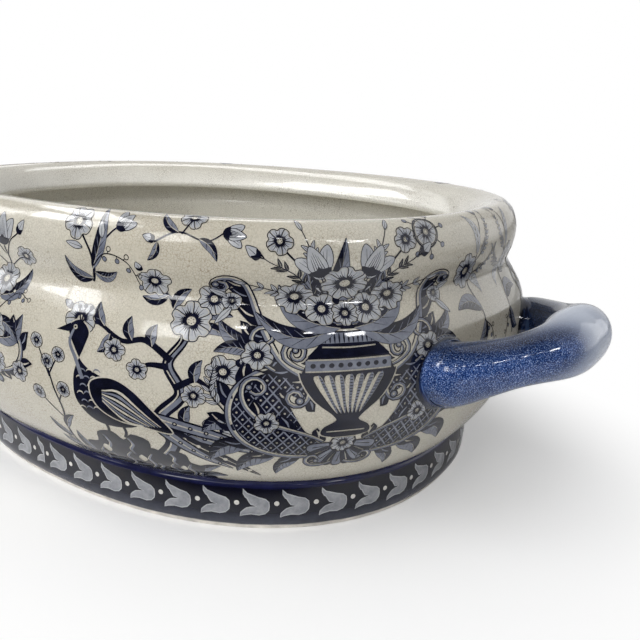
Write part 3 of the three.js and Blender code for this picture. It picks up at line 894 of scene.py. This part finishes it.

# Navy band under the glaze: ink-dark, greyer to the bottom as a painted reflection of the table,
# lavender at the shoulder where the glaze pooled and as a painted highlight, bare pale biscuit below.
foot_glaze, tree, shader, coord = material("banded_navy_glaze_and_bare_biscuit", {"IOR": 1.45})
level = node(tree, "SeparateXYZ", (), {0: coord}).outputs["Z"]
waver = node(tree, "TexNoise", {"Scale": cells_of(22.2), "Detail": 3}, {"Vector": coord})
wavy = node(tree, "Math", {1: 1.6 * mm, 2: -0.8 * mm}, {0: waver.outputs["Fac"]}, operation="MULTIPLY_ADD")
edge_level = node(tree, "Math", (), {0: level, 1: wavy.outputs[0]}, operation="ADD")
share = node(tree, "MapRange", {"From Min": 0.0, "From Max": 34 * mm}, {"Value": edge_level.outputs[0]})
# Stops 0.13 to 0.25 are the painted reflection of the table; 0.93 to 0.99 carry the painted highlight.
band_colours_and_painted_light = node(tree, "ValToRGB", (), {"Fac": share.outputs[0]}, {
    0.0: "#e6e1da", 0.105: "#d8d3cb", 0.13: "#3e414e", 0.25: "#343743", 0.38: "#0f1120",
    0.84: "#080818", 0.88: "#14163a", 0.93: "#24274c", 0.99: "#40446c"})
smoke = node(tree, "TexNoise", {"Scale": cells_of(14.29), "Detail": 5, "Roughness": 0.65}, {"Vector": coord})
smoke_tone = node(tree, "ValToRGB", (), {"Fac": smoke.outputs["Fac"]}, {0.35: 0.75, 0.7: 1.35})
band_tone = node(tree, "Mix", {"Factor": 1}, {"A": band_colours_and_painted_light.outputs[0], "B": smoke_tone.outputs[0]},
                 data_type="RGBA", blend_type="MULTIPLY")
tree.links.new(band_tone.outputs["Result"], shader.inputs["Base Color"])
bare = node(tree, "ValToRGB", (), {"Fac": share.outputs[0]}, {0.105: 0.75, 0.13: 0.1})
tree.links.new(bare.outputs[0], shader.inputs["Roughness"])
grit = node(tree, "TexNoise", {"Scale": cells_of(0.7143), "Detail": 2}, {"Vector": coord})
grit_height = node(tree, "Math", (), {0: grit.outputs["Fac"], 1: bare.outputs[0]}, operation="MULTIPLY")
grit_bump = node(tree, "Bump", {"Strength": 0.5, "Distance": 0.3 * mm}, {"Height": grit_height.outputs[0]})
tree.links.new(grit_bump.outputs[0], shader.inputs["Normal"])
foot.data.materials.append(foot_glaze)
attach(foot, "root")
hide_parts("foot_ring")

# A chain of open husks with a dot between each two runs one way round the band. It was
# printed as one long strip, so where its ends meet the last husk is cut short.
husk_pitch, husk_count, first_husk = 24.02, 49, 5.9
band_girth, band_middle = 1191.1, 17.7
husk_play, husk_tilt = 0.012, 0.02       # how far a husk is off in size, and in slope
husk_shape = np.array([
    8.05 + 0j, 7.7 + 2.75j, 5.6 + 4.7j, 1.4 + 5.75j, -2.8 + 7.3j, -5.6 + 8.25j, -8.05 + 10.8j,
    -7.85 + 7.85j, -6.45 + 5.5j, -5.5 + 4.95j, -4.55 + 3.15j, -3.15 + 1.0j, 0.35 - 0.15j, -3.5 - 0.95j,
    -5.6 - 1.6j, -7.0 - 2.75j, -8.95 - 4.7j, -9.45 - 7.5j, -7.0 - 6.4j, -2.8 - 5.6j, 2.1 - 6.1j,
    5.6 - 5.1j, 7.7 - 2.75j])


def husk_chain():
    out = []
    for k in range(husk_count + 1):
        shape = husk_shape * (1 + husk_play * np.sin(2.7 * k)) * np.exp(1j * husk_tilt * np.sin(1.9 * k))
        if k == husk_count:
            shape = np.minimum(shape.real, -1.2) + 1j * shape.imag
        centre = first_husk + husk_pitch * k
        out += [("husk", shape + centre)] + outline("husk_edge", shape + centre, 0.6)
        out += disc("dot", centre - 11.6 + 1.8j, 1.6)
    return out


printed("print_husks", husk_chain(), 0j, {
    "husk": ink("underglaze_band_husk", "#a4a6aa", "#8d8f94", "#76787f"),
    "husk_edge": ink("underglaze_band_husk_edge", "#bcbec0", "#b0b2b5", "#a3a5a9"),
    "dot": ink("underglaze_band_dot", "#d8d6d0", "#cfcdc7", "#c0beb8")},
    wrap_on(foot_face, foot_face[:, 1] - band_middle, band_girth / girth), True)

# Handles: two loops of rolled clay, thick in the grip, luted to the belly at both roots
# with a smear of slip, and sponged with cobalt before the glaze.
root_apart, root_level, tip_rise, tip_reach = 125.0, 106.0, 14.3, 43.5
root_size, arm_size, grip_size, root_depth = 20.2, 14.7, 19.2, 24.0
slimmest = 0.45                          # share of the way to the tip where the arm is slimmest
fillet = 1.2
sunk = 0.4                               # how far the handle's skin dips into the belly's
painted_sheen_from = np.array([0.235, -0.925, 0.296])     # the direction towards the view, which the painted sheen is measured from
handle_rows, handle_ring, root_tries = 90, 96, 1500
line_steps, line_samples = 240, 2001


def belly_radius(level):
    return np.interp(level, belly_line[:, 1], belly_line[:, 0])


def handle_line():
    """The middle line of the loop, as evenly spaced points, and its length."""
    half = root_apart / 2
    radius = belly_radius(root_level)
    root_x = (radius + oval_stretch) * (1 - (half / radius)**squareness)**(1 / squareness)
    tip_x = belly[0] + oval_stretch + tip_reach
    out = tip_x - root_x
    side = [[root_x - root_depth, half + 1, -0.4], [root_x, half, 0],
            [root_x + out * 0.144, half * 1.065, 0.13], [root_x + out * 0.949, half * 0.468, 0.99]]
    knots = np.array(side + [[tip_x, 0, 1]] + [[x, -y, z] for x, y, z in side[::-1]])
    knots[:, 2] = root_level + tip_rise * knots[:, 2]
    ends = np.concatenate([[2 * knots[0] - knots[1]], knots, [2 * knots[-1] - knots[-2]]])
    line = []
    for a, b, c, d in zip(ends, ends[1:], ends[2:], ends[3:]):
        ta, tb, tc = (max(np.linalg.norm(q - p), 1e-4)**0.5 for p, q in ((a, b), (b, c), (c, d)))
        out_b = ((b - a) / ta - (c - a) / (ta + tb) + (c - b) / tb) * tb
        out_c = ((c - b) / tb - (d - b) / (tb + tc) + (d - c) / tc) * tb
        t = np.linspace(0, 1, line_steps, endpoint=False)[:, None]
        line.append(b * (2 * t**3 - 3 * t**2 + 1) + out_b * (t**3 - 2 * t**2 + t)
                    + c * (3 * t**2 - 2 * t**3) + out_c * (t**3 - t**2))
    line = np.concatenate(line + [knots[-1:]])
    run = np.concatenate([[0], np.cumsum(np.linalg.norm(np.diff(line, axis=0), axis=1))])
    even = np.linspace(0, run[-1], line_samples)
    return np.stack([np.interp(even, run, line[:, k]) for k in range(3)], 1), run[-1]


grip_line, grip_length = handle_line()


def handle_points(along, around, extra=0.0):
    """Points of the handle at a distance along its line and an angle around it."""
    place = along / grip_length * (len(grip_line) - 1)
    k = np.clip(place.astype(int), 1, len(grip_line) - 3)
    t = (place - k)[..., None]
    centre = grip_line[k] * (1 - t) + grip_line[k + 1] * t
    heading = (grip_line[k + 1] - grip_line[k - 1]) * (1 - t) + (grip_line[k + 2] - grip_line[k]) * t
    heading /= np.linalg.norm(heading, axis=-1, keepdims=True)
    across = np.cross(heading, [0, 0, 1])
    across /= np.linalg.norm(across, axis=-1, keepdims=True)
    over = np.cross(across, heading)
    reached = np.clip((np.minimum(along, grip_length - along) - root_depth)
                      / (grip_length / 2 - root_depth), 0, 1)
    neck = arm_size + (root_size - arm_size) * np.clip(1 - reached / slimmest, 0, 1)**1.5
    swelling = np.sin(np.pi / 2 * np.clip((reached - slimmest) / (1 - slimmest), 0, 1))**2
    radius = np.where(reached < slimmest, neck, arm_size + (grip_size - arm_size) * swelling) + extra
    outward = np.cos(around)[..., None] * across + np.sin(around)[..., None] * over
    return centre + radius[..., None] * outward


def outside_belly(points):
    """How far points lie outside the belly, negative inside it."""
    radius = belly_radius(points[..., 2])
    share = (np.abs(points[..., 0] / (radius + oval_stretch))**squareness
             + np.abs(points[..., 1] / radius)**squareness)**(1 / squareness)
    return (share - 1) * radius


def both_halves(near, far):
    """The columns of one half of the loop and, from the tip back, of the other."""
    return np.concatenate([near, far[:, ::-1][:, 1:]], 1)


def handle(name, turned):
    """One loop: each column starts where it first leaves the belly, with a small fillet."""
    around = np.arange(handle_ring)[:, None] * 2 * np.pi / handle_ring
    tries = np.linspace(2, grip_length * 0.3, root_tries)[None]
    clear = outside_belly(handle_points(tries + 0 * around, around + 0 * tries, fillet)) > -sunk
    start = tries[0, clear.argmax(1)][:, None]
    start = np.min([np.roll(start, k, 0) for k in range(-3, 4)], 0)
    start = np.mean([np.roll(start, k, 0) for k in range(-3, 4)], 0)
    along = start + (grip_length / 2 - start) * np.linspace(0, 1, handle_rows)[None]**1.5
    around = around + 0 * along
    gap = np.clip(outside_belly(handle_points(along, around)) / (fillet * 1.5), 0, 1)
    half = handle_points(along, around, fillet * (1 - np.sqrt(1 - (1 - gap)**2)))
    points = both_halves(half, half * [1, -1, 1])
    if turned:
        points = points * [-1, -1, 1]
    faces = grid_faces(handle_ring, points.shape[1])[:, [0, 3, 2, 1]]
    piece = smooth_piece(name, points, faces)
    # How far each face is turned from the view: the mask of the painted sheen.
    outward = handle_points(along, around, 1.0) - handle_points(along, around)
    painted_sheen_share = [1 - np.clip(way @ painted_sheen_from, 0, 1) for way in (outward, outward * [1, -1, 1])]
    mark(piece.data, "painted_sheen_share", both_halves(*painted_sheen_share))
    for note, values in (("from_root", (along - root_depth) * mm), ("off_belly", outside_belly(half) * mm),
                         ("inner_side", np.clip(np.cos(around), 0, 1))):
        mark(piece.data, note, both_halves(values, values))
    return piece


# Sponged cobalt under clear glaze: deep blue dabbed with pale specks of half a millimetre,
# with painted shade on the upward-facing ridge and the inside of the loop. Round each root the
# sponge was drawn down the joint, so the last stretch is streaked, and the seam itself is nearly black.
cobalt_glaze, tree, shader, coord = material("sponged_cobalt_glaze", {"Roughness": 0.08, "IOR": 1.5})
from_root, off_belly, inner_side, painted_sheen_share = (
    node(tree, "Attribute", attribute_name=note).outputs["Fac"]
    for note in ("from_root", "off_belly", "inner_side", "painted_sheen_share"))
dabs = node(tree, "TexNoise", {"Scale": cells_of(0.5882), "Detail": 2, "Roughness": 0.6}, {"Vector": coord})
dab_tone = node(tree, "ValToRGB", (), {"Fac": dabs.outputs["Fac"]},
                {0.40: "#0b1a46", 0.48: "#19346b", 0.57: "#40609a", 0.67: "#a3b2d0"})
drawn = node(tree, "VectorMath", {1: (0.2, 0.2, 0.04)}, {0: coord}, operation="MULTIPLY")
apart = node(tree, "CombineXYZ", (), {"X": from_root})
streak_place = node(tree, "VectorMath", (), {0: drawn.outputs[0], 1: apart.outputs[0]}, operation="ADD")
streaks = node(tree, "TexNoise", {"Scale": cells_of(1.4286), "Detail": 2},
               {"Vector": streak_place.outputs[0]})
streak_tone = node(tree, "ValToRGB", (), {"Fac": streaks.outputs["Fac"]},
                   {0.36: "#0d1c46", 0.5: "#1a3164", 0.62: "#5a74a4"})
root_share = node(tree, "MapRange", {"From Min": 0.0, "From Max": 12 * mm}, {"Value": from_root})
collar = node(tree, "ValToRGB", (), {"Fac": root_share.outputs[0]}, {0.3: 1.0, 0.62: 0.0})
blue = node(tree, "Mix", (), {"Factor": collar.outputs[0], "A": dab_tone.outputs[0],
                              "B": streak_tone.outputs[0]}, data_type="RGBA")
off_share = node(tree, "MapRange", {"From Min": 0.0, "From Max": 3 * mm}, {"Value": off_belly})
seam = node(tree, "ValToRGB", (), {"Fac": off_share.outputs[0]}, {0.25: 1.0, 0.7: 0.0})
seamed = node(tree, "Mix", {"B": linear("#080d20")}, {"Factor": seam.outputs[0], "A": blue.outputs["Result"]},
              data_type="RGBA")
# Painted shade: faces that look up, and the inside of the loop, are darkened in the colour.
facing_up = node(tree, "SeparateXYZ", (), {0: node(tree, "NewGeometry").outputs["Normal"]}).outputs["Z"]
painted_top_shade = node(tree, "ValToRGB", (), {"Fac": facing_up}, {0.4: 1.0, 0.85: 0.3})
painted_inner_shade = node(tree, "ValToRGB", (), {"Fac": inner_side}, {0.2: 1.0, 0.8: 0.22})
painted_shade = node(tree, "Math", (), {0: painted_top_shade.outputs[0], 1: painted_inner_shade.outputs[0]}, operation="MULTIPLY")
with_painted_shade = node(tree, "Mix", {"Factor": 1}, {"A": seamed.outputs["Result"], "B": painted_shade.outputs[0]},
              data_type="RGBA", blend_type="MULTIPLY")
cloud = node(tree, "TexNoise", {"Scale": cells_of(26.3), "Detail": 3}, {"Vector": coord})
cloud_tone = node(tree, "ValToRGB", (), {"Fac": cloud.outputs["Fac"]}, {0.35: 0.7, 0.65: 1.1})
cobalt = node(tree, "Mix", {"Factor": 1}, {"A": with_painted_shade.outputs["Result"], "B": cloud_tone.outputs[0]},
              data_type="RGBA", blend_type="MULTIPLY")

# Painted sheen: round the outer bend, on the faces turned away from the view, the blue is
# mixed to a pale grey-blue that stands in for the glaze mirroring the bright room.
bend_share = node(tree, "MapRange", {"From Min": 0.0, "From Max": 200 * mm}, {"Value": from_root})
bend = node(tree, "ValToRGB", (), {"Fac": bend_share.outputs[0]}, {0.24: 0.1, 0.46: 1.0}, "EASE")
outer = node(tree, "ValToRGB", (), {"Fac": inner_side}, {0.3: 1.0, 0.8: 0.1})
turned_from_view = node(tree, "ValToRGB", (), {"Fac": painted_sheen_share}, {0.24: 0.0, 0.56: 0.8}, "EASE")
outer_bend = node(tree, "Math", (), {0: bend.outputs[0], 1: outer.outputs[0]}, operation="MULTIPLY")
painted_sheen_mask = node(tree, "Math", (), {0: outer_bend.outputs[0], 1: turned_from_view.outputs[0]}, operation="MULTIPLY")
painted_sheen_tone = node(tree, "ValToRGB", (), {"Fac": painted_sheen_share}, {0.35: "#74819f", 0.65: "#b2bccf"})
with_painted_sheen = node(tree, "Mix", (), {"Factor": painted_sheen_mask.outputs[0], "A": cobalt.outputs["Result"],
                                "B": painted_sheen_tone.outputs[0]}, data_type="RGBA")
tree.links.new(with_painted_sheen.outputs["Result"], shader.inputs["Base Color"])
wave = node(tree, "TexNoise", {"Scale": cells_of(16.67), "Detail": 2}, {"Vector": coord})
wave_bump = node(tree, "Bump", {"Strength": 0.3, "Distance": 1 * mm}, {"Height": wave.outputs["Fac"]})
ridges = node(tree, "Math", (), {0: streaks.outputs["Fac"], 1: collar.outputs[0]}, operation="MULTIPLY")
ridge_bump = node(tree, "Bump", {"Strength": 0.5, "Distance": 0.7 * mm},
                  {"Height": ridges.outputs[0], "Normal": wave_bump.outputs[0]})
tree.links.new(ridge_bump.outputs[0], shader.inputs["Normal"])

for node_name, turned in (("handle_right", False), ("handle_left", True)):
    grip = handle(node_name + "_body", turned)
    grip.data.materials.append(cobalt_glaze)
    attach(grip, "root")
    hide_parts(node_name)

# Floor, light and camera: a pale table and a white surround for the camera, soft daylight
# from above and in front, the windows and bulbs that the glaze mirrors, and the camera where
# the photograph was taken.
floor_reach = 6
corners = [(x * floor_reach, y * floor_reach, 0) for x, y in ((-1, -1), (1, -1), (1, 1), (-1, 1))]
floor_mesh = bpy.data.meshes.new("floor")
floor_mesh.from_pydata(corners, [], [(0, 1, 2, 3)])
floor = placed("floor", floor_mesh)
# White laminate table: matt and plain. The camera sees its shadow lightened, and away from
# the piece only white. For glossy rays, from a hand's width in front, it is a dim emission:
# a painted dark reflection that stands for the dim side of the room.
table, tree, shader, spot = material("white_laminate_table", {
    "Base Color": linear("#fbfbfb"), "Roughness": 0.8, "Specular IOR Level": 0.1})
ray_kind = node(tree, "LightPath").outputs
scaled = node(tree, "VectorMath", {1: (0.72, 1, 1)}, {0: spot}, operation="MULTIPLY")
away = node(tree, "VectorMath", (), {0: scaled.outputs[0]}, operation="LENGTH").outputs["Value"]
fade = node(tree, "ValToRGB", (), {"Fac": away}, {0.17: 0.3, 0.31: 1.0}, "EASE")
blank = node(tree, "Math", (), {0: fade.outputs[0], 1: ray_kind["Is Camera Ray"]}, operation="MULTIPLY")
white = node(tree, "Emission", {"Color": (1, 1, 1, 1), "Strength": 1.0})
painted_dark_reflection = node(tree, "Emission", {"Color": linear("#3a3a3c"), "Strength": 1.0})
front = node(tree, "VectorMath", {1: (0.45, -0.893, 0)}, {0: spot}, operation="DOT_PRODUCT")
past = node(tree, "ValToRGB", (), {"Fac": front.outputs["Value"]}, {0.2: 0.0, 0.235: 1.0})
aside = node(tree, "VectorMath", {1: (0.893, 0.45, 0)}, {0: spot}, operation="DOT_PRODUCT")
window_side = node(tree, "ValToRGB", (), {"Fac": aside.outputs["Value"]}, {0.12: 1.0, 0.2: 0.0})
dark_part = node(tree, "Math", (), {0: past.outputs[0], 1: window_side.outputs[0]}, operation="MULTIPLY")
unlit = node(tree, "Math", (), {0: dark_part.outputs[0], 1: ray_kind["Is Glossy Ray"]}, operation="MULTIPLY")
near = node(tree, "MixShader", (), {0: unlit.outputs[0], 1: shader.outputs[0], 2: painted_dark_reflection.outputs[0]})
far = node(tree, "MixShader", (), {0: blank.outputs[0], 1: near.outputs[0], 2: white.outputs[0]})
table_output = next(made for made in tree.nodes if made.type == "OUTPUT_MATERIAL")
tree.links.new(far.outputs[0], table_output.inputs["Surface"])
floor_mesh.materials.append(table)

world = bpy.data.worlds.new("white_room_dim_in_front")
bpy.context.scene.world = world
world.use_nodes = True
tree = world.node_tree
tree.nodes.clear()
ray_kind = node(tree, "LightPath").outputs
seen = node(tree, "Math", (), {0: ray_kind["Is Camera Ray"], 1: ray_kind["Is Transmission Ray"]},
            operation="MAXIMUM")
way = node(tree, "TexCoord").outputs["Generated"]
behind = node(tree, "VectorMath", {1: (0.35, 0.94, 0.25)}, {0: way}, operation="DOT_PRODUCT")
backdrop = node(tree, "ValToRGB", (), {"Fac": behind.outputs["Value"]},
                {0.05: 0.05, 0.3: 0.14, 0.42: 0.85, 0.8: 0.9})
plain = node(tree, "Mix", {"B": (0.26, 0.26, 0.26, 1)},
             {"Factor": ray_kind["Is Diffuse Ray"], "A": backdrop.outputs[0]}, data_type="RGBA")
lit = node(tree, "Mix", {"B": (1, 1, 1, 1)},
           {"Factor": seen.outputs[0], "A": plain.outputs["Result"]}, data_type="RGBA")
air = node(tree, "Background", {"Strength": 1.0}, {"Color": lit.outputs["Result"]})
node(tree, "OutputWorld", links={"Surface": air.outputs[0]})

aim = Vector((0, 0, 0.12))


def lamp(name, azimuth, elevation, size, glow, lights=False, lean=0, distance=1.9):
    """A lamp aimed at the piece, glow bright: it lights the matt colours or is only mirrored."""
    turn, rise = np.radians([azimuth, elevation])
    place = Vector((np.cos(turn) * np.cos(rise), np.sin(turn) * np.cos(rise), np.sin(rise))) * distance
    light = bpy.data.lights.new(name, "AREA")
    light.shape = "RECTANGLE"
    light.size, light.size_y = size
    light.energy = glow * np.pi * size[0] * size[1]
    made = placed(name, light)
    made.location = place + aim
    leaning = Quaternion((0, 0, 1), np.radians(lean))
    made.rotation_euler = ((-place).to_track_quat("-Z", "Y") @ leaning).to_euler()
    made.visible_diffuse = lights
    made.visible_glossy = not lights


lamp("skylight", -97, 60, (2.4, 1.8), 2.8, True, distance=2.4)
lamp("front_fill", -92, 24, (2.0, 1.0), 3.2, True, distance=2.4)
lamp("back_left_window", 160, 30, (0.9, 0.9), 1.4)
lamp("back_window", 138, 52, (0.8, 0.4), 5.0)
lamp("left_skylight", -158, 50, (1.4, 0.4), 10.0, lean=6)
lamp("far_left_window", -155, 20, (0.5, 0.5), 5.0)
lamp("left_window", -142, 34, (0.40, 0.50), 13.0, lean=28)
lamp("left_window_pane", -127, 33, (0.28, 0.46), 11.0, lean=28)
lamp("small_left_window", -119, 42, (0.42, 0.26), 4.5, lean=28)
lamp("front_window", -93, 28, (0.46, 0.56), 7.0, lean=12)
lamp("front_curtain", -80, 27, (0.9, 0.5), 1.6, distance=2.0)
lamp("right_window", 47, 14, (1.5, 1.4), 0.85)
for number, (azimuth, elevation) in enumerate(((-66, 41), (-50, 40), (-36, 37), (-26, 34))):
    lamp(f"bulb_{number + 1}", azimuth, elevation, (0.09, 0.035), 55)
lamp("near_bulb", -15, 31, (0.26, 0.12), 28)

# The camera's place and turn were fitted to the photograph's ovals, its focal length in pixels.
photo_pixels, focal_pixels, sensor_width = 640, 721.243, 36
eye = Vector((0.38969, -0.42405, 0.24645))
yaw, pitch, tilt = np.radians([34.129, -16.130, 1.982])
ahead = Vector((-np.sin(yaw) * np.cos(pitch), np.cos(yaw) * np.cos(pitch), np.sin(pitch)))
right = Vector((np.cos(yaw), np.sin(yaw), 0))
up = right.cross(ahead)
right_tilted = right * np.cos(tilt) + up * np.sin(tilt)
up_tilted = up * np.cos(tilt) - right * np.sin(tilt)
camera = placed("camera", bpy.data.cameras.new("camera"))
camera.data.sensor_width = sensor_width
camera.data.lens = focal_pixels / photo_pixels * sensor_width
turned_to_view = Matrix((right_tilted, up_tilted, -ahead)).transposed().to_4x4()
camera.matrix_world = Matrix.Translation(eye) @ turned_to_view
bpy.context.scene.camera = camera
bpy.context.scene.view_settings.view_transform = "Standard"
